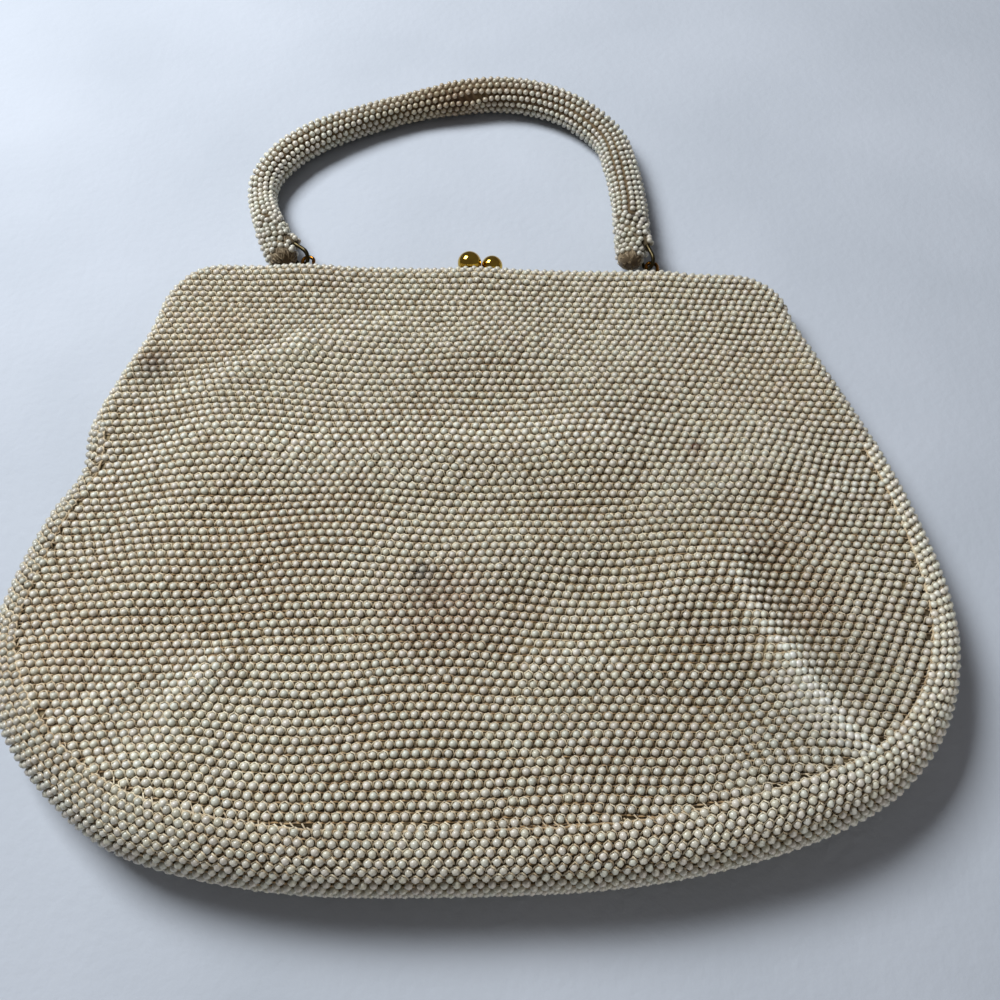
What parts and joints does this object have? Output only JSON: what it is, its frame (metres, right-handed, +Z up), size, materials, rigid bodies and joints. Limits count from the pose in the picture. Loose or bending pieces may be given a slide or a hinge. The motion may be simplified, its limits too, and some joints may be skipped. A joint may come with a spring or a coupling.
{
  "type": "beaded evening bag",
  "caption": "Bead-covered evening bag with a hinged frame, ball-snap clasp, half-round sewn gusset and a beaded bundle handle on wire links, lying on its back.",
  "frame": {"origin": "on the surface the bag lies on, under the middle of the whole box of bag and handle", "axes": "+X across the bag, +Y up the bag from its bottom to its handle, +Z up from the surface through the front"},
  "size_m": [0.2286, 0.265, 0.0225],
  "materials": {
    "beaded_cloth": "ivory beads sewn on cream cloth",
    "beaded_strings": "strings of ivory beads in a bundle",
    "gold_metal": "polished gold plate",
    "dark_brass": "tarnished wire"
  },
  "bodies": {
    "root": {"front_panel": "beaded_cloth", "back_panel": "beaded_cloth", "gusset": "beaded_cloth", "frame_front": "gold_metal", "frame_back": "gold_metal", "hinge_pin_left": "gold_metal", "hinge_pin_right": "gold_metal", "link_left": "dark_brass", "link_right": "dark_brass", "handle": "beaded_strings", "handle_end_left": "beaded_strings", "handle_end_right": "beaded_strings"}
  },
  "joints": []
}
